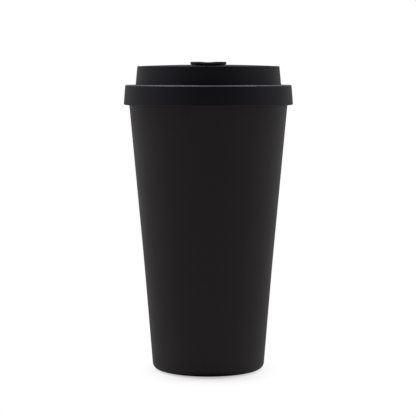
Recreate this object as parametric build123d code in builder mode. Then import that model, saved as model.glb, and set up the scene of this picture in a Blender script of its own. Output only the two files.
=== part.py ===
"""Insulated travel mug: a double-walled steel cup with a pull-off silicone lid and a pull-out sip stopper.

Units are millimetres. +Z is up and the origin is the centre of the foot, on the surface that the mug stands on.
The sip hole and its stopper are at the front, towards -Y.

The cup is two steel walls with a vacuum between them. The outer shell and the liner each roll over at the rim
and meet at a seam on top of it. The vacuum is closed below by the shell bottom, whose pump-out hole is sealed
by a glass bead. A getter under its strap and two layers of foil sit in the vacuum. A steel cover and a
silicone pad finish the underside. The lid is one silicone moulding: a drum that stands above a wide band.
"""

import os

from build123d import *

# Cup, outside
wall_foot_r = 31.75  # where the line of the wall meets the ground
wall_bend_r, wall_bend_z = 36.6, 60.0  # the wall flares a little more above this height
wall_bend_radius = 3000.0
neck_r, neck_z = 45.0, 152.1  # straight neck that the lid's band goes round
neck_blend = 8.0
rim_z = 159.0
rim_roll = 1.5  # outer radius of each half of the rolled rim
seam_r = 43.4  # where shell and liner meet on top of the rim
shell_t = 0.6
shell_foot_z = 0.3
foot_corner = 3.5
foot_curl = 1.3
foot_recess_r = 25.6
foot_flange_z = 4.0

# Liner
liner_inset = 3.7  # from the outside of the shell to the inside of the liner
liner_t = 0.5
liner_mouth_r = 41.8
mouth_land_z = 150.5  # bottom of the straight mouth
shoulder_z = 149.1
shoulder_blend = 2.0
liner_joint_z = 18.0  # weld between liner wall and liner bottom
liner_floor_z = 8.5
liner_corner = 7.0

# Vacuum space
foil_t = 0.12
foil_gap = 0.15  # foil stands off the liner by this
sleeve_low_z, sleeve_high_z = 20.0, 146.0
foil_disc_r = 20.0
bottom_t = 0.5
bottom_z = 4.0  # lower face of the shell bottom
bottom_flange_z = 2.0
dimple_r, dimple_rim_r, dimple_depth = 4.5, 6.0, 1.0
pump_hole_r = 1.2
bead_r, bead_h = 3.0, 0.8
getter_r, getter_h, getter_y = 4.5, 1.6, 14.0
strap_t, strap_w = 0.25, 3.0
strap_foot = 2.0
strap_side_gap = 0.1

# Underside
cover_t = 0.5
cover_z = 1.35  # lower face of the base cover
cover_r = 25.25
cover_lip_z = 0.6
adhesive_r, adhesive_t = 23.0, 0.15
pad_r = 24.5
pad_groove_w, pad_groove_depth = 1.2, 0.35
pad_groove_radii = (8.0, 13.0, 18.0)
pad_edge = 0.3

# Lid
band_low_z, band_low_r = 151.45, 48.1
ledge_z, ledge_r = 162.7, 47.2
drum_low_r = 41.3
drum_top_z, drum_top_r = 173.3, 40.3
crown = 0.9  # rise of the top from its edge to its centre
lid_t = 2.0
band_bore_r = 45.35
groove_roof_z = 159.3
skirt_r = 41.15
skirt_low_z = 152.7
skirt_wall = 1.9
fin_r, fin_zs = 0.4, (154.3, 156.7)
grip_ring_r, grip_ring_z = 0.2, 153.9
vent_y, vent_r, vent_dish_r = 30.0, 1.0, 2.6

# Sip hole and stopper
sip_y = -31.5
sip_length, sip_width = 14.0, 6.5
collar_wall = 2.0
collar_low_z = 167.4
plug_clearance = 0.2  # all round, standing in for the squeeze of the real silicone
plug_low_z = 166.4
plug_lead = 0.8
rib_h, rib_proud, rib_z = 0.9, 0.1, 169.2
head_foot_z = 173.95
head_lip_z = 174.45
head_top_z = 175.65
head_length, head_width = 19.8, 10.8
head_foot_length, head_foot_width = 15.2, 6.9
head_edge = 0.4
tongue_length, tongue_width, tongue_t = 8.2, 7.4, 1.0
tongue_tip_y = -39.7
thumb_dip, thumb_dip_radius = 0.25, 30.0

# Joints' travel, for the record: the lid lifts 40 mm and the stopper 20 mm, both along +Z.


def wall_r(z):
    """Outer radius of the shell's wall at a height, before the bend is rounded."""
    if z < wall_bend_z:
        low_r, low_z, high_r, high_z = wall_foot_r, 0.0, wall_bend_r, wall_bend_z
    else:
        low_r, low_z, high_r, high_z = wall_bend_r, wall_bend_z, neck_r, neck_z
    return low_r + (high_r - low_r) * (z - low_z) / (high_z - low_z)


def pressed_sheet(points, radii, thickness, side, plane=Plane.XZ):
    """Section of a pressed sheet: a path of (across, up) points with rounded corners, thickened to one side."""
    with BuildSketch(plane) as section:
        with BuildLine():
            FilletPolyline(*points, radius=radii)
            offset(amount=thickness, side=side)
        make_face()
    return section.sketch


with BuildPart() as outer_shell:
    shell_path = [
        (foot_recess_r, foot_flange_z),
        (foot_recess_r, shell_foot_z),
        (wall_r(shell_foot_z), shell_foot_z),
        (wall_bend_r, wall_bend_z),
        (neck_r, neck_z),
        (neck_r, rim_z),
        (seam_r, rim_z),
    ]
    shell_radii = [foot_curl, foot_corner, wall_bend_radius, neck_blend, rim_roll]
    revolve(pressed_sheet(shell_path, shell_radii, shell_t, Side.LEFT), axis=Axis.Z)
outer_shell.part.label = "outer_shell"

with BuildPart() as liner_wall:
    liner_path = [
        (wall_r(liner_joint_z) - liner_inset, liner_joint_z),
        (wall_bend_r - liner_inset, wall_bend_z),
        (wall_r(shoulder_z) - liner_inset, shoulder_z),
        (liner_mouth_r, mouth_land_z),
        (liner_mouth_r, rim_z),
        (seam_r, rim_z),
    ]
    liner_radii = [wall_bend_radius, shoulder_blend, shoulder_blend, rim_roll]
    revolve(pressed_sheet(liner_path, liner_radii, liner_t, Side.RIGHT), axis=Axis.Z)
liner_wall.part.label = "liner_wall"

with BuildPart() as liner_bottom:
    floor_path = [
        (0, liner_floor_z),
        (wall_r(liner_floor_z) - liner_inset, liner_floor_z),
        (wall_r(liner_joint_z) - liner_inset, liner_joint_z),
    ]
    revolve(pressed_sheet(floor_path, [liner_corner], liner_t, Side.RIGHT), axis=Axis.Z)
liner_bottom.part.label = "liner_bottom"

with BuildPart() as reflector_sleeve:
    foil_inset = liner_inset - liner_t - foil_gap
    sleeve_path = [
        (wall_r(sleeve_low_z) - foil_inset, sleeve_low_z),
        (wall_bend_r - foil_inset, wall_bend_z),
        (wall_r(sleeve_high_z) - foil_inset, sleeve_high_z),
    ]
    revolve(pressed_sheet(sleeve_path, [wall_bend_radius], foil_t, Side.RIGHT), axis=Axis.Z)
reflector_sleeve.part.label = "reflector_sleeve"

with BuildPart() as reflector_disc:
    with BuildSketch(Plane.XY.offset(liner_floor_z - liner_t - foil_gap)):
        Circle(foil_disc_r)
    extrude(amount=-foil_t)
reflector_disc.part.label = "reflector_disc"

with BuildPart() as shell_bottom:
    bottom_path = [
        (pump_hole_r, bottom_z + dimple_depth),
        (dimple_r, bottom_z + dimple_depth),
        (dimple_rim_r, bottom_z),
        (foot_recess_r - bottom_t, bottom_z),
        (foot_recess_r - bottom_t, bottom_flange_z),
    ]
    revolve(pressed_sheet(bottom_path, [0.5, 0.5, 0.8], bottom_t, Side.LEFT), axis=Axis.Z)
shell_bottom.part.label = "shell_bottom"

with BuildPart() as seal_bead:
    bead_roof_z = bottom_z + dimple_depth
    with BuildSketch(Plane.XY.offset(bead_roof_z)):
        Circle(bead_r)
    extrude(amount=-bead_h)
    fillet(seal_bead.edges().group_by(Axis.Z)[0], radius=bead_h * 0.8)
    with BuildSketch(Plane.XY.offset(bead_roof_z)):
        Circle(pump_hole_r)
    extrude(amount=bottom_t)
seal_bead.part.label = "seal_bead"

with BuildPart() as getter_pill:
    with BuildSketch(Plane.XY.offset(bottom_z + bottom_t)):
        with Locations((0, getter_y)):
            Circle(getter_r)
    extrude(amount=getter_h)
    chamfer(getter_pill.edges().filter_by(GeomType.CIRCLE), length=0.2)
getter_pill.part.label = "getter_pill"

with BuildPart() as getter_strap:
    strap_foot_z = bottom_z + bottom_t
    strap_top_z = strap_foot_z + getter_h
    strap_half = getter_r + strap_side_gap
    strap_path = [
        (getter_y - strap_half - strap_foot, strap_foot_z),
        (getter_y - strap_half, strap_foot_z),
        (getter_y - strap_half, strap_top_z),
        (getter_y + strap_half, strap_top_z),
        (getter_y + strap_half, strap_foot_z),
        (getter_y + strap_half + strap_foot, strap_foot_z),
    ]
    strap_section = pressed_sheet(strap_path, [0.3, 0.1, 0.1, 0.3], strap_t, Side.LEFT, Plane.YZ)
    extrude(strap_section, amount=strap_w / 2, both=True)
getter_strap.part.label = "getter_strap"

with BuildPart() as base_cover:
    cover_path = [
        (0, cover_z),
        (cover_r - cover_t, cover_z),
        (cover_r - cover_t, cover_lip_z),
    ]
    revolve(pressed_sheet(cover_path, [0.4], cover_t, Side.LEFT), axis=Axis.Z)
base_cover.part.label = "base_cover"

with BuildPart() as pad_adhesive:
    with BuildSketch(Plane.XY.offset(cover_z)):
        Circle(adhesive_r)
    extrude(amount=-adhesive_t)
pad_adhesive.part.label = "pad_adhesive"

with BuildPart() as base_pad:
    with BuildSketch():
        Circle(pad_r)
    extrude(amount=cover_z - adhesive_t)
    chamfer(base_pad.edges().group_by(Axis.Z)[0], length=pad_edge)
    for groove_r in pad_groove_radii:
        with BuildSketch():
            Circle(groove_r + pad_groove_w / 2)
            Circle(groove_r - pad_groove_w / 2, mode=Mode.SUBTRACT)
        extrude(amount=pad_groove_depth, mode=Mode.SUBTRACT)
base_pad.part.label = "base_pad"

with BuildPart() as lid_cap:
    skirt_inner_r = skirt_r - skirt_wall
    drum_inner_r = drum_top_r - lid_t
    with BuildSketch(Plane.XZ):
        with BuildLine():
            top = TangentArc((0, drum_top_z + crown), (drum_top_r, drum_top_z), tangent=(1, 0))
            side = FilletPolyline(
                top @ 1,
                (drum_low_r, ledge_z),
                (ledge_r, ledge_z),
                (band_low_r, band_low_z),
                (band_bore_r, band_low_z),
                (band_bore_r, groove_roof_z),
                (skirt_r, groove_roof_z),
                (skirt_r, skirt_low_z),
                (skirt_inner_r, skirt_low_z),
                (drum_inner_r, drum_top_z - lid_t),
                radius=[0.4, 0.6, 0.7, 0.6, 0.5, 0.5, 0.6, 0.6],
            )
            under = TangentArc((0, drum_top_z + crown - lid_t), side @ 1, tangent=(1, 0))
            Line(under @ 0, top @ 0)
        make_face()
        with Locations(*[(skirt_r, z) for z in fin_zs]):
            Circle(fin_r)
        with Locations((band_bore_r, grip_ring_z)):
            Circle(grip_ring_r)
    revolve(axis=Axis.Z)

    # Rounded corner round the top of the drum, inside and out
    rings = lid_cap.edges().filter_by(GeomType.CIRCLE)
    fillet(rings.filter_by(lambda e: abs(e.radius - drum_top_r) < 0.01), radius=0.8)
    fillet(rings.filter_by(lambda e: abs(e.radius - drum_inner_r) < 0.01), radius=1.5)

    # Collar under the sip hole, then the hole itself
    with BuildSketch(Plane.XY.offset(collar_low_z)):
        with Locations((0, sip_y)):
            SlotOverall(sip_length + 2 * collar_wall, sip_width + 2 * collar_wall)
    extrude(amount=drum_top_z - lid_t / 2 - collar_low_z)
    with BuildSketch(Plane.XY.offset(collar_low_z)):
        with Locations((0, sip_y)):
            SlotOverall(sip_length, sip_width)
    extrude(amount=drum_top_z + crown - collar_low_z, mode=Mode.SUBTRACT)

    # Vent hole at the bottom of a small dish
    with BuildSketch(Plane.XY.offset(drum_top_z - lid_t)):
        with Locations((0, vent_y)):
            Circle(vent_r)
    extrude(amount=lid_t + crown, mode=Mode.SUBTRACT)
    with BuildSketch(Plane.XY.offset(drum_top_z)):
        with Locations((0, vent_y)):
            Circle(vent_dish_r)
    extrude(amount=crown, mode=Mode.SUBTRACT)
lid_cap.part.label = "lid_cap"

with BuildPart() as sip_stopper:
    # Plug, with a lead-in at its lower end and one sealing rib
    plug_length, plug_width = sip_length - 2 * plug_clearance, sip_width - 2 * plug_clearance
    with BuildSketch(Plane.XY.offset(plug_low_z)):
        with Locations((0, sip_y)):
            SlotOverall(plug_length, plug_width)
    extrude(amount=head_foot_z - plug_low_z)
    chamfer(sip_stopper.edges().group_by(Axis.Z)[0], length=plug_lead)
    with BuildSketch(Plane.XY.offset(rib_z)):
        with Locations((0, sip_y)):
            SlotOverall(plug_length + 2 * rib_proud, plug_width + 2 * rib_proud)
    extrude(amount=rib_h)

    # Head that flares from its foot on the lid out to a thin lip
    with BuildSketch(Plane.XY.offset(head_foot_z)):
        with Locations((0, sip_y)):
            SlotOverall(head_foot_length, head_foot_width)
    with BuildSketch(Plane.XY.offset(head_lip_z)):
        with Locations((0, sip_y)):
            SlotOverall(head_length, head_width)
    loft()
    with BuildSketch(Plane.XY.offset(head_lip_z)):
        with Locations((0, sip_y)):
            SlotOverall(head_length, head_width)
    extrude(amount=head_top_z - head_lip_z)
    fillet(sip_stopper.edges().group_by(Axis.Z)[-1], radius=head_edge)

    # Tongue that a fingertip lifts, reaching forward to the edge of the drum
    with BuildSketch(Plane.XY.offset(head_lip_z)):
        with Locations((0, tongue_tip_y + tongue_length / 2)):
            SlotOverall(tongue_length, tongue_width, rotation=90)
    extrude(amount=tongue_t)

    # Shallow dip across the top for the thumb
    with Locations((0, sip_y, head_top_z - thumb_dip + thumb_dip_radius)):
        Cylinder(thumb_dip_radius, 2 * head_width, rotation=(90, 0, 0), mode=Mode.SUBTRACT)
sip_stopper.part.label = "sip_stopper"

pieces = [
    outer_shell, liner_wall, liner_bottom, reflector_sleeve, reflector_disc,
    shell_bottom, seal_bead, getter_pill, getter_strap, base_cover,
    pad_adhesive, base_pad, lid_cap, sip_stopper,
]
os.makedirs("parts", exist_ok=True)
for piece in pieces:
    export_step(piece.part, f"parts/{piece.part.label}.step")
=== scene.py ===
import math

import bmesh
import bpy
from mathutils import Matrix, Vector


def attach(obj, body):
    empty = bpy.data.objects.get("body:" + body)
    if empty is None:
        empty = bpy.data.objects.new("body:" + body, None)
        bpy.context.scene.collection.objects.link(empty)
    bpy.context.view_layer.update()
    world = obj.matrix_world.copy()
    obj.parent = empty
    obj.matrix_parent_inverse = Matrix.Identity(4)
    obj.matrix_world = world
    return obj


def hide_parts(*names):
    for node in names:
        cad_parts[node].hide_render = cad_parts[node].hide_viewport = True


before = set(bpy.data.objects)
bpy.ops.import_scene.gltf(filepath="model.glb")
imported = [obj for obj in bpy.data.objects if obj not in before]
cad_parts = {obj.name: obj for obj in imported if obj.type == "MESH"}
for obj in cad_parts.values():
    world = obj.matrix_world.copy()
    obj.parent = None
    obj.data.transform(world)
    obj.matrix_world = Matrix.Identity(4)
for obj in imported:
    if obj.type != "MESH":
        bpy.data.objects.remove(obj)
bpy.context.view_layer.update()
scene = bpy.context.scene
mm = 0.001
print("frame loaded with", len(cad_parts), "nodes")


# Node trees written as sums

class Wire:
    # wraps one socket of a node tree, so that sums written on it add Math nodes
    def __init__(self, tree, socket=None):
        self.tree = tree
        self.socket = socket

    # one node: its settings first, then the value or wire of each socket; gives one output
    def node(self, kind, settings=None, sockets=None, out=0):
        made = self.tree.nodes.new(kind)
        for name, value in (settings or {}).items():
            setattr(made, name, value)
        for name, value in (sockets or {}).items():
            if isinstance(value, Wire):
                self.tree.links.new(value.socket, made.inputs[name])
            else:
                made.inputs[name].default_value = value
        return Wire(self.tree, made.outputs[out])

    def maths(self, operation, *others, clamp=False):
        values = dict(enumerate((self, *others)))
        return self.node("ShaderNodeMath", {"operation": operation, "use_clamp": clamp}, values)

    def __add__(self, other):
        return self.maths("ADD", other)

    def __sub__(self, other):
        return self.maths("SUBTRACT", other)

    def __rsub__(self, other):
        return self.maths("MULTIPLY_ADD", -1.0, other)

    def __mul__(self, other):
        return self.maths("MULTIPLY", other)

    def __truediv__(self, other):
        return self.maths("DIVIDE", other)

    __radd__ = __add__
    __rmul__ = __mul__

    # goes smoothly from 0 at one value of this wire to 1 at another, which may be the lower
    def fade(self, zeroAt, oneAt):
        rising = zeroAt < oneAt
        return self.node("ShaderNodeMapRange", {"interpolation_type": "SMOOTHSTEP"}, {
            "Value": self,
            "From Min": min(zeroAt, oneAt),
            "From Max": max(zeroAt, oneAt),
            "To Min": 0.0 if rising else 1.0,
            "To Max": 1.0 if rising else 0.0,
        })

    # the same, between a pair of sizes in millimetres
    def fadeSizes(self, sizes):
        return self.fade(sizes[0] * mm, sizes[1] * mm)

    # from one colour at 0 to another at 1
    def tint(self, low, high):
        low, high = (c if isinstance(c, Wire) else (*c, 1.0) for c in (low, high))
        return self.node("ShaderNodeMix", {"data_type": "RGBA"}, {0: self, 6: low, 7: high}, out=2)

    # from one number at 0 to another at 1
    def between(self, low, high):
        return self.node("ShaderNodeMix", {"data_type": "FLOAT"}, {0: self, 2: low, 3: high})

    # the three parts of a vector
    def split(self):
        first = self.node("ShaderNodeSeparateXYZ", None, {"Vector": self})
        return [Wire(self.tree, socket) for socket in first.socket.node.outputs]


# Turned forms: an outline swung round the mug's axis

turned = {
    "pathRadius": 50.0,  # of the circle that the outline is swept along, and how much nearer it is drawn
    "merge": 0.002,  # points nearer than this become one
    "sharp": 38.0,  # degrees between faces that stay a real corner
}


# group that rounds an outline's corners, divides its long runs and turns it round the axis
def buildTurning():
    tree = bpy.data.node_groups.new("Turned Form", "GeometryNodeTree")
    face = tree.interface
    face.new_socket("Geometry", in_out="INPUT", socket_type="NodeSocketGeometry")
    for name, kind in (
        ("Segments", "NodeSocketInt"),
        ("Corner Steps", "NodeSocketInt"),
        ("Longest Run", "NodeSocketFloat"),
        ("Path Radius", "NodeSocketFloat"),
        ("Material", "NodeSocketMaterial"),
    ):
        face.new_socket(name, in_out="INPUT", socket_type=kind)
    face.new_socket("Geometry", in_out="OUTPUT", socket_type="NodeSocketGeometry")

    start = Wire(tree)
    given = start.node("NodeGroupInput").socket.node
    wanted = {socket.name: Wire(tree, socket) for socket in given.outputs if socket.name}
    rounding = start.node("GeometryNodeInputNamedAttribute", {"data_type": "FLOAT"}, {"Name": "rounding"})
    outline = start.node("GeometryNodeMeshToCurve", None, {"Mesh": wanted["Geometry"]})
    outline = start.node("GeometryNodeFilletCurve", {"mode": "POLY"}, {
        "Curve": outline, "Count": wanted["Corner Steps"], "Radius": rounding, "Limit Radius": True,
    })

    # how far along the outline the next point is, over the longest run allowed, is how often to cut
    here = start.node("GeometryNodeSplineParameter", out="Length")
    index = start.node("GeometryNodeInputIndex")
    ahead = start.node("GeometryNodeFieldAtIndex", {"data_type": "FLOAT", "domain": "POINT"}, {
        "Value": here, "Index": index + 1,
    })
    cuts = ((ahead - here) / wanted["Longest Run"]).maths("MAXIMUM", 0.0)
    outline = start.node("GeometryNodeSubdivideCurve", None, {"Curve": outline, "Cuts": cuts})

    inward = start.node("ShaderNodeCombineXYZ", None, {"X": wanted["Path Radius"] * -1})
    outline = start.node("GeometryNodeSetPosition", None, {"Geometry": outline, "Offset": inward})
    circle = start.node("GeometryNodeCurvePrimitiveCircle", None, {
        "Resolution": wanted["Segments"], "Radius": wanted["Path Radius"],
    })
    form = start.node("GeometryNodeCurveToMesh", None, {"Curve": circle, "Profile Curve": outline})
    form = start.node("GeometryNodeMergeByDistance", None, {
        "Geometry": form, "Distance": turned["merge"] * mm,
    })
    form = start.node("GeometryNodeRealizeInstances", None, {"Geometry": form})
    form = start.node("GeometryNodeSetMaterial", None, {"Geometry": form, "Material": wanted["Material"]})
    finish = tree.nodes.new("NodeGroupOutput")
    tree.links.new(form.socket, finish.inputs[0])
    return tree


turning = buildTurning()


# sets a tree's named inputs by their identifiers
def setInputs(modifier, values):
    for item in modifier.node_group.interface.items_tree:
        if item.item_type == "SOCKET" and item.in_out == "INPUT" and item.name in values:
            modifier[item.identifier] = values[item.name]


# replaces an object's mesh by what its modifiers make of it, and removes them
def settle(piece):
    evaluated = piece.evaluated_get(bpy.context.evaluated_depsgraph_get())
    mesh = bpy.data.meshes.new_from_object(evaluated)
    piece.modifiers.clear()
    piece.data = mesh
    mesh.name = piece.name


def addPiece(name, mesh):
    piece = bpy.data.objects.new(name, mesh)
    scene.collection.objects.link(piece)
    return piece


# turns a form from corners of (radius, height, rounding) in millimetres
def turn(name, corners, material, segments=256, cornerSteps=6, longestRun=3.0):
    mesh = bpy.data.meshes.new(name)
    edges = [(i, i + 1) for i in range(len(corners) - 1)]
    mesh.from_pydata([(r * mm, -z * mm, 0) for r, z, rounding in corners], edges, [])
    attribute = mesh.attributes.new("rounding", "FLOAT", "POINT")
    attribute.data.foreach_set("value", [rounding * mm for r, z, rounding in corners])
    piece = addPiece(name, mesh)
    modifier = piece.modifiers.new("Turned Form", "NODES")
    modifier.node_group = turning
    setInputs(modifier, {
        "Segments": segments,
        "Corner Steps": cornerSteps,
        "Longest Run": longestRun * mm,
        "Path Radius": turned["pathRadius"] * mm,
        "Material": material,
    })
    bpy.context.view_layer.update()
    settle(piece)
    clean(piece)
    return piece


# merges doubles, turns every face outwards and leaves only real corners sharp
def clean(piece):
    sharpAngle = math.radians(turned["sharp"])
    work = bmesh.new()
    work.from_mesh(piece.data)
    bmesh.ops.remove_doubles(work, verts=work.verts, dist=turned["merge"] / 2 * mm)
    bmesh.ops.dissolve_degenerate(work, edges=work.edges, dist=turned["merge"] / 4 * mm)
    bmesh.ops.recalc_face_normals(work, faces=work.faces)
    for face in work.faces:
        face.smooth = True
    for edge in work.edges:
        edge.smooth = len(edge.link_faces) != 2 or edge.calc_face_angle(0.0) < sharpAngle
    work.to_mesh(piece.data)
    work.free()


# gives a turned sheet its thickness, outwards for a positive one
def thicken(piece, thickness):
    wall = piece.modifiers.new("Wall", "SOLIDIFY")
    wall.thickness = abs(thickness) * mm
    wall.offset = math.copysign(1.0, thickness)
    wall.use_even_offset = True
    wall.use_quality_normals = True
    settle(piece)
    clean(piece)


# normals that follow the large faces, so that flat runs between rounded corners shade flat
def evenShading(piece):
    weighting = piece.modifiers.new("Even Shading", "WEIGHTED_NORMAL")
    weighting.keep_sharp = True
    settle(piece)


# a smooth crowned line from the axis to the edge, as outline corners
def crownedLine(edgeRadius, edgeHeight, rise, steps, reach=0.9):
    radii = [edgeRadius * reach * i / steps for i in range(steps + 1)]
    return [(r, edgeHeight + rise * (1 - (r / edgeRadius) ** 2), 0.0) for r in radii]


# Finishes

# a new material, its shader with the fixed values set, and the surface's own coordinates
def startFinish(name, fixed):
    material = bpy.data.materials.new(name)
    material.use_nodes = True
    shader = material.node_tree.nodes["Principled BSDF"]
    for socket, value in fixed.items():
        shader.inputs[socket].default_value = value
    place = Wire(material.node_tree).node("ShaderNodeTexCoord", out="Object")
    return material, shader, place


def feed(shader, wires):
    for socket, wire in wires.items():
        wire.tree.links.new(wire.socket, shader.inputs[socket])


# cloudy noise from 0 to 1, with features of a given size in millimetres
def cloud(place, size, detail=2.0, rough=0.5):
    return place.node("ShaderNodeTexNoise", None, {
        "Vector": place, "Scale": 1 / (size * mm), "Detail": detail, "Roughness": rough,
    })


# rounded cells of a given size in millimetres, 0 at each middle
def cells(place, size, feature="F1"):
    return place.node("ShaderNodeTexVoronoi", {"feature": feature}, {
        "Vector": place, "Scale": 1 / (size * mm),
    })


def bump(height, depth):
    return height.node("ShaderNodeBump", None, {"Height": height, "Distance": depth * mm})


# distance from the mug's axis, or from any line, by the two parts across it
def axisDistance(x, y):
    return (x * x + y * y).maths("SQRT")


# black powder coat over steel, which ends short of the rim and inside the foot
def powderCoat(name, look):
    material, shader, place = startFinish(name, {
        "Specular IOR Level": look["specular"],
        "Specular Tint": (*look["gloss"], 1.0),
    })
    x, y, z = place.split()
    overRim = z.fadeSizes(look["coatTop"])
    underFoot = axisDistance(x, y).fadeSizes(look["coatFoot"])
    bare = overRim.maths("MAXIMUM", underFoot)

    blotch = cloud(place, look["blotchSize"], 3.0)
    grain = cloud(place, look["grainSize"])
    peel = cells(place, look["peelSize"], "SMOOTH_F1")
    handled = cloud(place, look["handledSize"], 4.0, 0.6).fade(0.45, 0.7)
    speck = cells(place, look["speckSpacing"]).fade(0.045, 0.02)
    wear = z.fadeSizes(look["wornHeights"]) * cloud(place, look["scuffSize"], 3.0).fade(0.48, 0.62)

    colour = blotch.tint(look["dark"], look["light"])
    colour = grain.fade(0.35, 0.75).between(0.0, 0.35).tint(colour, look["grainTint"])
    colour = (speck * 0.25).tint(colour, look["speck"])
    colour = (wear * 0.5).tint(colour, look["worn"])
    coatRough = handled.between(look["roughness"], look["roughness"] - 0.05) - wear * 0.12
    feed(shader, {
        "Base Color": bare.tint(colour, look["steel"]),
        "Metallic": bare,
        "Roughness": bare.between(coatRough, look["steelRoughness"]),
        "Normal": bump((grain + peel * 0.8) * (1 - bare * 0.9), look["depth"]),
    })
    return material


# the marks that a weld leaves: sizes in millimetres, from where a mark starts to where it is full
weldMarks = {
    "seam": (0.7, 0.3),  # from the seam's middle
    "side": (0.0, 2.0),  # the seam runs up the back
    "ring": (0.9, 0.3),  # from the ring's middle
    "heat": (4.5, 1.0),
    "beadSize": 0.7,
}


# steel with fine lines turned round the axis and, where it is welded, a seam and a ring
def turnedSteel(name, look):
    material, shader, place = startFinish(name, {"Metallic": 1.0})
    x, y, z = place.split()
    finer = 1 / look["lineWidth"] / mm
    across = place.node("ShaderNodeCombineXYZ", None, {
        "X": axisDistance(x, y) * finer,
        "Y": z * finer,
        "Z": (x + y) * look["lineDrift"],
    })
    lines = place.node("ShaderNodeTexNoise", None, {"Vector": across, "Scale": 1.0, "Detail": 3.0})
    smear = cloud(place, look["smearSize"], 3.0)
    fromRing = (z - look["ringHeight"] * mm).maths("ABSOLUTE")
    seam = x.maths("ABSOLUTE").fadeSizes(weldMarks["seam"]) * y.fadeSizes(weldMarks["side"]) * look["welded"]
    ring = fromRing.fadeSizes(weldMarks["ring"]) * look["welded"]
    weld = seam.maths("MAXIMUM", ring)
    beads = cells(place, weldMarks["beadSize"], "SMOOTH_F1")
    heat = fromRing.fadeSizes(weldMarks["heat"]) * look["welded"]

    colour = smear.tint(look["dark"], look["light"])
    colour = (heat * 0.45).tint(colour, look["heat"])
    rough = lines.fade(0.3, 0.7).between(look["roughness"] - 0.07, look["roughness"] + 0.09)
    feed(shader, {
        "Base Color": (weld * 0.5).tint(colour, look["dark"]),
        "Roughness": rough + weld * 0.15,
        "Normal": bump(lines * 0.5 + weld * beads * 6.0, look["depth"]),
    })
    return material


# what all the silicone pieces share: sizes in millimetres
siliconeSizes = {
    "drift": 16.0,
    "flow": 5.0,  # soft waves left by the mould
    "dust": 1.7,
    "dustPatch": 14.0,
    "lint": 4.5,
    "dullStep": 0.2,
}


# soft silicone: a cool black skin with a fine dull grain, light dust, and chosen edges rubbed smoother and
# tinted paler; on the lid that paler tint is a painted highlight, on the pad it is rub wear
def silicone(name, look):
    sizes = siliconeSizes
    material, shader, place = startFinish(name, {
        "Specular IOR Level": look["specular"],
        "Specular Tint": (*look["gloss"], 1.0),
        "Sheen Weight": look["sheen"],
        "Sheen Roughness": 0.55,
        "Sheen Tint": (*look["sheenTint"], 1.0),
    })
    skin = cloud(place, look["grain"], 3.0, 0.55)
    drift = cloud(place, sizes["drift"], 3.0)
    flow = cloud(place, sizes["flow"])
    dust = cells(place, sizes["dust"]).fade(0.09, 0.03) * cloud(place, sizes["dustPatch"]).fade(0.45, 0.65)
    lint = cells(place, sizes["lint"]).fade(0.02, 0.012)
    dirt = (dust * look["dust"]).maths("ADD", lint * look["dust"] * 2, clamp=True)

    colour = drift.tint(look["dark"], look["light"])
    colour = (skin.fade(0.4, 0.8) * 0.3).tint(colour, look["skinTint"])
    colour = dirt.tint(colour, look["dustColour"])
    rough = drift.between(look["roughness"] - 0.04, look["roughness"] + 0.05) + dust * 0.1

    # corners made smoother and tinted pale, each at a radius and height, and the dull top above another
    # height; the pale tint is a painted highlight on the lid's edges and rub wear on the pad's edge
    x, y, z = place.split()
    radius = axisDistance(x, y)
    for cornerRadius, cornerHeight, strength in look["rubbedAndHighlitCorners"]:
        away = axisDistance(radius - cornerRadius * mm, z - cornerHeight * mm)
        rubAndHighlightMask = away.fadeSizes((look["rubAndHighlightReach"], look["rubAndHighlightReach"] * 0.4)) * strength
        rubAndHighlightMask = rubAndHighlightMask * flow.fade(0.3, 0.6).between(0.75, 1.0)
        # pale tint: painted highlight on the lid's rounded edges and rub wear on the pad's edge, broken up by
        # the mould's waves
        colour = rubAndHighlightMask.tint(colour, look["rubAndHighlightColour"])
        rough = rough - rubAndHighlightMask * 0.12
    rough = rough + z.fadeSizes((look["dullAbove"] - sizes["dullStep"], look["dullAbove"])) * 0.25
    feed(shader, {
        "Base Color": colour,
        "Roughness": rough,
        "Normal": bump(skin + flow * look["flow"], look["depth"]),
    })
    return material


# bright foil, creased where it was wrapped by hand
def creasedFoil(name, look):
    material, shader, place = startFinish(name, {"Metallic": 1.0})
    facets = cells(place, look["crease"], "DISTANCE_TO_EDGE").fade(0.0, 0.12)
    fine = cloud(place, look["crease"] * 0.35, 3.0, 0.6)
    feed(shader, {
        "Base Color": fine.tint(look["dark"], look["light"]),
        "Roughness": facets.between(0.38, 0.2),
        "Normal": bump(facets * 0.6 + fine, look["depth"]),
    })
    return material


# grains of any dull or glassy stuff: pressed powder, fused glass, film
def grained(name, look):
    material, shader, place = startFinish(name, look["fixed"])
    grain = cells(place, look["grain"], "SMOOTH_F1")
    patch = cloud(place, look["grain"] * 6, 3.0)
    feed(shader, {
        "Base Color": (grain * 0.5 + patch * 0.5).tint(look["dark"], look["light"]),
        "Roughness": patch.between(look["roughness"] - 0.06, look["roughness"] + 0.08),
        "Normal": bump(grain + patch, look["depth"]),
    })
    return material


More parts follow.
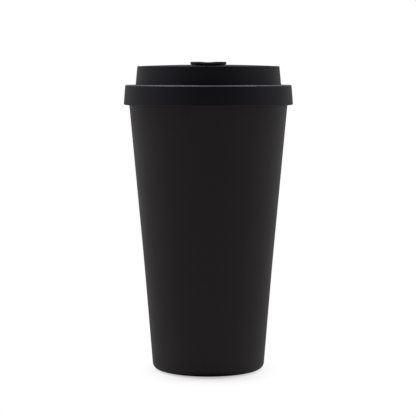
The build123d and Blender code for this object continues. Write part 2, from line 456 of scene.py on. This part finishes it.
shellCoat = powderCoat("powderCoat", {
    "dark": (0.0112, 0.0082, 0.0096),
    "light": (0.0158, 0.0118, 0.0136),
    "gloss": (1.0, 0.94, 0.98),
    "grainTint": (0.021, 0.018, 0.019),
    "speck": (0.06, 0.057, 0.055),
    "worn": (0.05, 0.048, 0.046),
    "steel": (0.56, 0.55, 0.53),
    "roughness": 0.5,
    "steelRoughness": 0.3,
    "specular": 0.42,
    "depth": 0.03,
    "grainSize": 0.22,
    "peelSize": 0.704,
    "blotchSize": 22.0,
    "handledSize": 60.0,
    "speckSpacing": 2.3,
    "scuffSize": 1.6,
    "wornHeights": (2.6, 0.9),  # wear starts below the first and is full below the second
    "coatTop": (157.8, 158.0),  # heights between which the coat ends near the rim
    "coatFoot": (27.6, 27.2),  # radii between which it ends under the foot
})
linerSteel = turnedSteel("linerSteel", {
    "dark": (0.44, 0.43, 0.41),
    "light": (0.6, 0.59, 0.57),
    "heat": (0.42, 0.33, 0.22),
    "roughness": 0.27,
    "lineWidth": 0.12,
    "lineDrift": 6.0,
    "smearSize": 30.0,
    "welded": 1.0,
    "ringHeight": 18.0,
    "depth": 0.012,
})
sheetSteel = turnedSteel("sheetSteel", {
    "dark": (0.36, 0.355, 0.35),
    "light": (0.5, 0.49, 0.48),
    "heat": (0.4, 0.35, 0.28),
    "roughness": 0.36,
    "lineWidth": 0.2,
    "lineDrift": 6.0,
    "smearSize": 30.0,
    "welded": 0.0,
    "ringHeight": 0.0,
    "depth": 0.015,
})
lidSkin = silicone("lidSilicone", {
    "dark": (0.0012, 0.0011, 0.002),
    "light": (0.0024, 0.0022, 0.0036),
    "skinTint": (0.0045, 0.0042, 0.006),
    "dustColour": (0.09, 0.088, 0.09),
    "gloss": (0.86, 0.83, 1.0),
    "sheenTint": (0.75, 0.75, 0.95),
    "sheen": 0.004,
    "specular": 0.42,
    "roughness": 0.56,
    "dust": 0.22,
    "grain": 0.28,
    "flow": 0.6,
    "depth": 0.025,
    # painted highlight lines: a paler tint along the ledge's rounded edge and the band's lower edge, in the
    # colour below
    "rubbedAndHighlitCorners": ((47.1, 162.62, 1.0), (48.1, 151.5, 0.22)),
    "rubAndHighlightReach": 0.6,
    "rubAndHighlightColour": (0.085, 0.08, 0.088),
    "dullAbove": 173.4,
})
stopperSkin = silicone("stopperSilicone", {
    "dark": (0.0052, 0.0052, 0.0058),
    "light": (0.007, 0.007, 0.0078),
    "skinTint": (0.009, 0.009, 0.01),
    "dustColour": (0.07, 0.07, 0.07),
    "gloss": (0.95, 0.95, 1.0),
    "sheenTint": (0.8, 0.82, 0.9),
    "sheen": 0.02,
    "specular": 0.5,
    "roughness": 0.42,
    "dust": 0.12,
    "grain": 0.2,
    "flow": 0.5,
    "depth": 0.012,
    "rubbedAndHighlitCorners": (),
    "rubAndHighlightReach": 0.8,
    "rubAndHighlightColour": (0.05, 0.05, 0.052),
    "dullAbove": 200.0,
})
padSkin = silicone("padSilicone", {
    "dark": (0.009, 0.009, 0.0095),
    "light": (0.013, 0.013, 0.0135),
    "skinTint": (0.017, 0.017, 0.017),
    "dustColour": (0.12, 0.115, 0.11),
    "gloss": (1.0, 1.0, 1.0),
    "sheenTint": (0.85, 0.85, 0.9),
    "sheen": 0.05,
    "specular": 0.4,
    "roughness": 0.66,
    "dust": 0.5,
    "grain": 0.35,
    "flow": 0.4,
    "depth": 0.03,
    "rubbedAndHighlitCorners": ((24.4, 0.1, 0.6),),
    "rubAndHighlightReach": 0.6,
    "rubAndHighlightColour": (0.06, 0.058, 0.056),
    "dullAbove": 200.0,
})
foil = creasedFoil("foil", {
    "dark": (0.72, 0.72, 0.74), "light": (0.88, 0.88, 0.89), "crease": 5.0, "depth": 0.08,
})
sealGlass = grained("sealGlass", {
    "fixed": {"Coat Weight": 0.6, "Coat Roughness": 0.05, "Specular IOR Level": 0.6},
    "dark": (0.03, 0.05, 0.04), "light": (0.09, 0.13, 0.1), "roughness": 0.18, "grain": 0.35, "depth": 0.01,
})
getterAlloy = grained("getterAlloy", {
    "fixed": {"Metallic": 0.7},
    "dark": (0.1, 0.1, 0.105), "light": (0.22, 0.22, 0.225), "roughness": 0.72, "grain": 0.16, "depth": 0.02,
})
filmGlue = grained("filmGlue", {
    "fixed": {"Specular IOR Level": 0.5},
    "dark": (0.42, 0.4, 0.34), "light": (0.68, 0.66, 0.58), "roughness": 0.45, "grain": 0.9, "depth": 0.01,
})
print("finishes made")


# The cup: sizes in millimetres, heights above the ground

cup = {
    "footLine": 31.75,  # radius where the wall's line meets the ground
    "bend": (36.6, 60.0),
    "bendRounding": 3000.0,
    "neck": (45.0, 152.1),
    "neckBlend": 8.0,
    "rim": 159.0,
    "rimRoll": 1.5,
    "seam": 43.4,
    "shellSheet": 0.6,
    "shellFoot": 0.3,
    "footCorner": 3.5,
    "footCurl": 1.3,
    "recess": 25.6,
    "flange": 4.0,
    "linerInset": 3.7,
    "linerSheet": 0.5,
    "mouth": 41.8,
    "mouthLand": 150.5,
    "shoulder": 149.1,
    "shoulderBlend": 2.0,
    "linerJoint": 18.0,
    "floor": 8.5,
    "floorCorner": 7.0,
}


# outer radius of the wall at a height
def wallRadius(height):
    bendRadius, bendHeight = cup["bend"]
    neckRadius, neckHeight = cup["neck"]
    if height < bendHeight:
        return cup["footLine"] + (bendRadius - cup["footLine"]) * height / bendHeight
    return bendRadius + (neckRadius - bendRadius) * (height - bendHeight) / (neckHeight - bendHeight)


def makeShell():
    footRadius = wallRadius(cup["shellFoot"])
    shell = turn("shellWall", [
        (cup["recess"], cup["flange"], 0),
        (cup["recess"], cup["shellFoot"], cup["footCurl"]),
        (footRadius, cup["shellFoot"], cup["footCorner"]),
        (*cup["bend"], cup["bendRounding"]),
        (*cup["neck"], cup["neckBlend"]),
        (cup["neck"][0], cup["rim"], cup["rimRoll"]),
        (cup["seam"], cup["rim"], 0),
    ], shellCoat, cornerSteps=9)
    thicken(shell, -cup["shellSheet"])
    evenShading(shell)
    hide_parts("outer_shell")
    return shell


def makeLiner():
    inset = cup["linerInset"]
    joint = (wallRadius(cup["linerJoint"]) - inset, cup["linerJoint"])
    wall = turn("linerWall", [
        (*joint, 0),
        (cup["bend"][0] - inset, cup["bend"][1], cup["bendRounding"]),
        (wallRadius(cup["shoulder"]) - inset, cup["shoulder"], cup["shoulderBlend"]),
        (cup["mouth"], cup["mouthLand"], cup["shoulderBlend"]),
        (cup["mouth"], cup["rim"], cup["rimRoll"]),
        (cup["seam"], cup["rim"], 0),
    ], linerSteel, cornerSteps=8)
    floor = turn("linerBottom", [
        (0, cup["floor"], 0),
        (wallRadius(cup["floor"]) - inset, cup["floor"], cup["floorCorner"]),
        (*joint, 0),
    ], linerSteel, cornerSteps=12)
    thicken(wall, -cup["linerSheet"])
    thicken(floor, cup["linerSheet"])
    for piece, node in ((wall, "liner_wall"), (floor, "liner_bottom")):
        evenShading(piece)
        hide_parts(node)
    return [wall, floor]


pad = {
    "radius": 24.5,
    "thickness": 1.2,
    "edge": 0.35,
    "topEdge": 0.175,
    "grooves": (8.0, 13.0, 18.0),
    "grooveWidth": 1.2,
    "grooveDepth": 0.35,
    "grooveRounding": 0.12,
}


def makePad():
    corners = [(0, 0, 0)]
    for radius in pad["grooves"]:
        inner = radius - pad["grooveWidth"] / 2
        outer = radius + pad["grooveWidth"] / 2
        roof = pad["grooveDepth"]
        for place, height in ((inner, 0), (inner, roof), (outer, roof), (outer, 0)):
            corners.append((place, height, pad["grooveRounding"]))
    corners += [
        (pad["radius"], 0, pad["edge"]),
        (pad["radius"], pad["thickness"], pad["topEdge"]),
        (0, pad["thickness"], 0),
    ]
    piece = turn("basePad", corners, padSkin, cornerSteps=3)
    evenShading(piece)
    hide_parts("base_pad")
    return piece


# The lid and its stopper

lid = {
    "band": (48.1, 151.45),  # radius and height of each corner
    "bandRounding": 0.7,
    "ledge": (47.2, 162.7),
    "ledgeRounding": 0.6,
    "drumFoot": 41.3,
    "drumFootRounding": 0.4,
    "drumTop": (40.3, 173.3),
    "drumTopRounding": 0.3,
    "crown": 0.9,
    "wall": 2.0,
    "insideRounding": 1.5,
    "bore": 45.35,
    "boreRounding": 0.6,
    "grooveRoof": 159.3,
    "grooveRounding": 0.5,
    "skirt": (41.15, 152.7),
    "skirtWall": 1.9,
    "skirtRounding": 0.6,
    "fins": (156.7, 154.3),
    "fin": (0.4, -0.52, 0.14),  # how far out it stands, half its height on the outline's way, rounding
    "gripRing": 153.9,
    "ring": (-0.2, 0.48, 0.15),
}
vent = {
    "at": 30.0,
    "radius": 1.0,
    "dishRadius": 2.6,
    "dishRise": 0.45,
    "cutAbove": 2.0,
    "rounding": 0.25,
}
sip = {
    "at": -31.5,
    "length": 14.0,
    "width": 6.5,
    "flare": 0.2,  # how much the hole widens all round at its lower end
    "lipRounding": 0.5,
    "lipSteps": 7,
    "cutAbove": 3.0,  # how far the cut goes on above the drum's top edge
    "collarWall": 2.0,
    "collarFoot": 167.4,
    "collarEdge": 0.3,
}
stopper = {
    "clearance": 0.2,
    "foot": 166.4,
    "lead": 0.8,
    "ribAt": 169.65,
    "ribHalf": 0.45,
    "ribProud": 0.1,
    "headFoot": (17.0, 7.8, 173.9),  # length, width and height
    "headUnder": (17.25, 8.02, 173.93),
    "headLip": (19.8, 10.8, 174.22),
    "lowEdge": 0.2,
    "top": 175.65,
    "topEdge": 0.42,
    "edgeSteps": 5,
    "topSteps": 9,
    "tongueReach": 2.8,
    "tongueHalf": 5.0,
    "tongueFlat": 2.6,
    "tongueRound": 0.012,
    "dip": 0.28,
    "dipHalf": 5.2,
}
beyond = 0.5  # how far a cutting tool reaches past the underside that it cuts


# how much of the tongue's reach is left at a distance to its side
def tongueShare(x):
    flat, half = stopper["tongueFlat"], stopper["tongueHalf"]
    if abs(x) >= half:
        return 0.0
    beside = max(0.0, (abs(x) - flat) / (half - flat))
    return (0.5 + 0.5 * math.cos(math.pi * beside)) * (1 - stopper["tongueRound"] * x ** 2)


# points round a slot with half-round ends, centred on the sip hole; its height is a number or a function of
# the place, and the tongue bulges forward from it
def slotRing(length, width, height, tongue=0.0, across=36, around=22):
    straight = (length - width) / 2
    points = []
    for side in (-1, 1):
        for i in range(across):
            x = -side * straight * (1 - 2 * i / across)
            points.append((x, side * width / 2))
        for i in range(around):
            turnAngle = math.pi * i / around - math.pi / 2
            outward = math.cos(turnAngle) * width / 2
            points.append((side * (straight + outward), -side * math.sin(turnAngle) * width / 2))
    ring = []
    for x, y in points:
        if y < 0:
            y -= tongue * tongueShare(x)
        z = height(x, y) if callable(height) else height
        ring.append((x * mm, (y + sip["at"]) * mm, z * mm))
    return ring


# a closed solid from rings of points, each the same number, from one end to the other; the last ring may be
# pinched shut already
def stackRings(name, rings, material, pinched=False):
    count = len(rings[0])
    points = [point for ring in rings for point in ring]
    faces = [tuple(range(count))[::-1]]
    if not pinched:
        faces.append(tuple(range(len(points) - count, len(points))))
    for level in range(len(rings) - 1):
        low, high = level * count, (level + 1) * count
        faces += [(low + i, low + (i + 1) % count, high + (i + 1) % count, high + i) for i in range(count)]
    mesh = bpy.data.meshes.new(name)
    mesh.from_pydata(points, [], faces)
    mesh.materials.append(material)
    piece = addPiece(name, mesh)
    clean(piece)
    return piece


# joins a tool to a piece or cuts it out, and takes the tool away
def carve(piece, tool, operation):
    cutting = piece.modifiers.new("Carve", "BOOLEAN")
    cutting.operation = operation
    cutting.solver = "MANIFOLD"
    cutting.object = tool
    bpy.context.view_layer.update()
    settle(piece)
    bpy.data.objects.remove(tool)


# a slot's length and width, drawn in by the same amount all round
def drawnIn(size, inset):
    return size[0] - 2 * inset, size[1] - 2 * inset


# height of the drum's top at a place measured from the sip hole's centre
def drumHeight(x, y):
    radius, top = lid["drumTop"]
    return top + lid["crown"] * (1 - (x ** 2 + (y + sip["at"]) ** 2) / radius ** 2)


# a height function lowered by a fixed amount
def lowered(height, by):
    return lambda x, y: height(x, y) - by


# a low ridge on a turned wall, as three outline corners
def ridge(wallRadius, height, proud, half, rounding):
    return [
        (wallRadius, height - half, rounding),
        (wallRadius + proud, height, rounding),
        (wallRadius, height + half, rounding),
    ]


# collar under the sip hole, which ends inside the drum's top
def makeCollar():
    outside = drawnIn((sip["length"], sip["width"]), -sip["collarWall"])
    foot, edge = sip["collarFoot"], sip["collarEdge"]
    rings = [
        slotRing(*drawnIn(outside, edge), foot),
        slotRing(*outside, foot + edge),
        slotRing(*outside, lid["drumTop"][1] - lid["wall"] / 2),
    ]
    return stackRings("collar", rings, lidSkin)


# the sip hole, which widens at its lower end and has a rounded lip that follows the drum's top
def makeHole():
    size = (sip["length"], sip["width"])
    foot, rounding = sip["collarFoot"], sip["lipRounding"]
    flared = drawnIn(size, -sip["flare"])
    rings = [
        slotRing(*flared, foot - beyond),
        slotRing(*flared, foot),
        slotRing(*size, foot + sip["collarEdge"]),
    ]
    for i in range(sip["lipSteps"] + 1):
        angle = math.pi / 2 * i / sip["lipSteps"]
        out = rounding * (1 - math.cos(angle))
        below = rounding * (1 - math.sin(angle))
        rings.append(slotRing(*drawnIn(size, -out), lowered(drumHeight, below)))
    rings.append(slotRing(*drawnIn(size, -rounding), lid["drumTop"][1] + sip["cutAbove"]))
    return stackRings("hole", rings, lidSkin)


# the vent at the bottom of its dish
def makeVent():
    top = lid["drumTop"][1]
    under = top - lid["wall"] - beyond
    tool = turn("vent", [
        (0, under, 0),
        (vent["radius"], under, 0),
        (vent["radius"], top, vent["rounding"]),
        (vent["dishRadius"] - 0.2, top + 0.06, vent["rounding"]),
        (vent["dishRadius"], top + vent["dishRise"], 0),
        (vent["dishRadius"] + 0.1, top + vent["cutAbove"], 0),
        (0, top + vent["cutAbove"], 0),
    ], lidSkin, segments=48, cornerSteps=3)
    tool.data.transform(Matrix.Translation((0, vent["at"] * mm, 0)))
    return tool


def makeLid():
    ledgeRadius, ledge = lid["ledge"]
    topRadius, top = lid["drumTop"]
    skirtRadius, skirtFoot = lid["skirt"]
    innerRadius, innerTop = topRadius - lid["wall"], top - lid["wall"]
    corners = crownedLine(topRadius, top, lid["crown"], steps=12)
    corners += [
        (topRadius, top, lid["drumTopRounding"]),
        (lid["drumFoot"], ledge, lid["drumFootRounding"]),
        (ledgeRadius, ledge, lid["ledgeRounding"]),
        (*lid["band"], lid["bandRounding"]),
        (lid["bore"], lid["band"][1], lid["boreRounding"]),
    ]
    corners += ridge(lid["bore"], lid["gripRing"], *lid["ring"])
    corners += [
        (lid["bore"], lid["grooveRoof"], lid["grooveRounding"]),
        (skirtRadius, lid["grooveRoof"], lid["grooveRounding"]),
    ]
    for height in lid["fins"]:
        corners += ridge(skirtRadius, height, *lid["fin"])
    corners += [
        (skirtRadius, skirtFoot, lid["skirtRounding"]),
        (skirtRadius - lid["skirtWall"], skirtFoot, lid["skirtRounding"]),
        (innerRadius, innerTop, lid["insideRounding"]),
    ]
    corners += crownedLine(innerRadius, innerTop, lid["crown"], steps=8)[::-1]
    piece = turn("lid", corners, lidSkin, cornerSteps=5, longestRun=2.2)
    carve(piece, makeCollar(), "UNION")
    carve(piece, makeHole(), "DIFFERENCE")
    carve(piece, makeVent(), "DIFFERENCE")
    clean(piece)
    evenShading(piece)
    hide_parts("lid_cap")
    return piece


# height of the top of the stopper's head, which dips in the middle for a fingertip
def headHeight(x, y):
    if abs(x) >= stopper["dipHalf"]:
        return stopper["top"]
    return stopper["top"] - stopper["dip"] * (0.5 + 0.5 * math.cos(math.pi * x / stopper["dipHalf"]))


def makeStopper():
    plug = drawnIn((sip["length"], sip["width"]), stopper["clearance"])
    foot, lead, rib = stopper["foot"], stopper["lead"], stopper["ribProud"]
    ribLow = stopper["ribAt"] - stopper["ribHalf"]
    ribHigh = stopper["ribAt"] + stopper["ribHalf"]
    headFoot = stopper["headFoot"][2]
    *lipSize, headLip = stopper["headLip"]
    reach, edge, lowEdge = stopper["tongueReach"], stopper["topEdge"], stopper["lowEdge"]

    # the plug: how far in from its full size, and the height
    plugSide = [
        (lead + 0.2, foot),
        (lead, foot + 0.08),
        (0.06, foot + lead - 0.06),
        (0, foot + lead + 0.1),
        (0, ribLow),
        (-0.8 * rib, ribLow + 0.12),
        (-rib, stopper["ribAt"]),
        (-0.8 * rib, ribHigh - 0.12),
        (0, ribHigh),
        (0, headFoot - 0.3),
        (-0.05, headFoot - 0.08),
        (-0.15, headFoot),
    ]
    rings = [slotRing(*drawnIn(plug, inset), height) for inset, height in plugSide]

    # the head's underside, then its lower edge: how far in from the lip, the height, and the tongue's reach
    rings += [slotRing(*stopper["headFoot"]), slotRing(*stopper["headUnder"])]
    headSide = [
        (2 * lowEdge, headLip - 0.3 * lowEdge, 0),
        (lowEdge, headLip, 0),
        (lowEdge, headLip, reach),
        (0.3 * lowEdge, headLip + 0.3 * lowEdge, reach),
        (0, headLip + lowEdge, reach),
    ]
    rings += [slotRing(*drawnIn(lipSize, inset), height, tongue) for inset, height, tongue in headSide]

    # its rounded upper edge, then its top, in to a closed slit
    for i in range(stopper["edgeSteps"] + 1):
        angle = math.pi / 2 * i / stopper["edgeSteps"]
        inset, below = edge * (1 - math.cos(angle)), edge * (1 - math.sin(angle))
        rings.append(slotRing(*drawnIn(lipSize, inset), lowered(headHeight, below), reach))
    for i in range(1, stopper["topSteps"] + 1):
        inwards = i / stopper["topSteps"]
        inset = edge + (lipSize[1] / 2 - edge) * inwards
        rings.append(slotRing(*drawnIn(lipSize, inset), headHeight, reach * max(0.0, 1 - 1.5 * inwards)))
    piece = stackRings("sipStopper", rings, stopperSkin, pinched=True)
    evenShading(piece)
    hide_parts("sip_stopper")
    return piece


shellPiece = makeShell()
linerPieces = makeLiner()
padPiece = makePad()
print("cup made")
lidPiece = makeLid()
stopperPiece = makeStopper()
print("lid and stopper made")

for piece in (shellPiece, *linerPieces, padPiece):
    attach(piece, "cup")
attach(lidPiece, "lid")
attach(stopperPiece, "stopper")

for node, material in {
    "shell_bottom": sheetSteel,
    "base_cover": sheetSteel,
    "getter_strap": sheetSteel,
    "reflector_sleeve": foil,
    "reflector_disc": foil,
    "seal_bead": sealGlass,
    "getter_pill": getterAlloy,
    "pad_adhesive": filmGlue,
}.items():
    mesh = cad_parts[node].data
    mesh.materials.clear()
    mesh.materials.append(material)


# The studio: a white table in a room that is dark in front and lighter round the sides and back, and a soft
# box above the mug on each side

studio = {
    "floorRadius": 3.0,
    "floorColour": (0.9, 0.9, 0.9),
    "floorPatch": (0.8865, 0.8865, 0.8865),
    "floorSegments": 96,
    "patchSize": 90.0,  # in millimetres, as is the drop, which keeps the floor off the pad's plane
    "floorDrop": 0.02,
    "halo": (0.037, 0.059),  # half sizes, in metres, of the soft patch of shade that the table keeps
    "fade": (0.5, 1.12),  # how far out in that patch the table starts and ends its fade to plain white
    "lift": 0.5,  # how white the table is made beside the mug
    "bounce": 0.4,  # share of the table's brightness that falls on the mug
    "front": 0.028,
    "sides": 0.44,
    "back": 0.75,
    "behind": 0.12,  # share of the back's light that comes from straight behind
    "frontToSides": (-1.05, 0.1),  # where one turns into the next, from -1 in front to 1 straight behind
    "sidesToBack": (0.4, 1.0),
    "backToBehind": (0.88, 0.975),
}
softBoxes = {
    "leftBox": {"place": (-0.46, 0.12, 1.15), "size": (0.4, 0.5), "power": 9.5},
    "rightBox": {"place": (0.42, 0.12, 1.15), "size": (0.3, 0.5), "power": 7.0},
}
litPoint = (0, 0, 0.1)  # what the soft boxes face, in metres


def makeFloor():
    disc = bmesh.new()
    segments, radius = studio["floorSegments"], studio["floorRadius"]
    bmesh.ops.create_circle(disc, cap_ends=True, segments=segments, radius=radius)
    mesh = bpy.data.meshes.new("floor")
    disc.to_mesh(mesh)
    disc.free()
    material, shader, place = startFinish("tableTop", {"Roughness": 0.9, "Specular IOR Level": 0.2})
    patch = cloud(place, studio["patchSize"], 3.0)
    feed(shader, {"Base Color": patch.tint(studio["floorColour"], studio["floorPatch"])})

    # the table is plain white away from the mug, and dimmer to everything but the camera
    x, y = place.split()[:2]
    seen = place.node("ShaderNodeLightPath", out="Is Camera Ray")
    white = place.node("ShaderNodeEmission", None, {"Color": (1, 1, 1, 1), "Strength": 1.0})
    dark = place.node("ShaderNodeBsdfDiffuse", None, {"Color": (0, 0, 0, 1)})
    across, along = studio["halo"]
    far = axisDistance(x / across, y / along).fade(*studio["fade"]).between(seen * studio["lift"], 1.0)
    solid = Wire(material.node_tree, shader.outputs[0])
    lit = place.node("ShaderNodeMixShader", None, {0: far, 1: solid, 2: white})
    shown = place.node("ShaderNodeMixShader", None, {0: seen.between(studio["bounce"], 1.0), 1: dark, 2: lit})
    output = material.node_tree.nodes["Material Output"]
    material.node_tree.links.new(shown.socket, output.inputs["Surface"])
    mesh.materials.append(material)
    mesh.transform(Matrix.Translation((0, 0, -studio["floorDrop"] * mm)))
    floor = addPiece("floor", mesh)


def makeWorld():
    world = bpy.data.worlds.new("studio")
    scene.world = world
    world.use_nodes = True
    direction = Wire(world.node_tree).node("ShaderNodeTexCoord", out="Generated")
    backwards = direction.split()[1]
    sidesAndBack = backwards.fade(*studio["sidesToBack"]).between(studio["sides"], studio["back"])
    light = backwards.fade(*studio["frontToSides"]).between(studio["front"], sidesAndBack)
    light = light * backwards.fade(*studio["backToBehind"]).between(1.0, studio["behind"])
    seen = direction.node("ShaderNodeLightPath", out="Is Camera Ray")
    strength = seen.between(light, 1.0)
    background = world.node_tree.nodes["Background"]
    background.inputs["Color"].default_value = (1, 1, 1, 1)
    world.node_tree.links.new(strength.socket, background.inputs["Strength"])


# an area light that faces the lit point, placed in metres
def makeSoftBox(name, place, size, power):
    light = bpy.data.lights.new(name, "AREA")
    light.shape = "RECTANGLE"
    light.size, light.size_y = size
    light.energy = power
    box = bpy.data.objects.new(name, light)
    scene.collection.objects.link(box)
    box.location = place
    box.rotation_euler = (Vector(litPoint) - Vector(place)).to_track_quat("-Z", "Y").to_euler()
    box.visible_camera = False


makeFloor()
makeWorld()
for name, box in softBoxes.items():
    makeSoftBox(name, **box)

# The camera, in metres, degrees and millimetres of lens

camera = {
    "distance": 0.920,
    "height": 0.17166,
    "aside": -0.00021,
    "down": 4.936,
    "lens": 139.42,
    "sensor": 36.0,
    "clip": (0.05, 20.0),
}
lens = bpy.data.cameras.new("camera")
lens.lens = camera["lens"]
lens.sensor_width = camera["sensor"]
lens.clip_start, lens.clip_end = camera["clip"]
view = bpy.data.objects.new("camera", lens)
scene.collection.objects.link(view)
view.location = (camera["aside"], -camera["distance"], camera["height"])
view.rotation_euler = (math.radians(90 - camera["down"]), 0, 0)
scene.camera = view
scene.view_settings.view_transform = "Standard"
print("studio set")
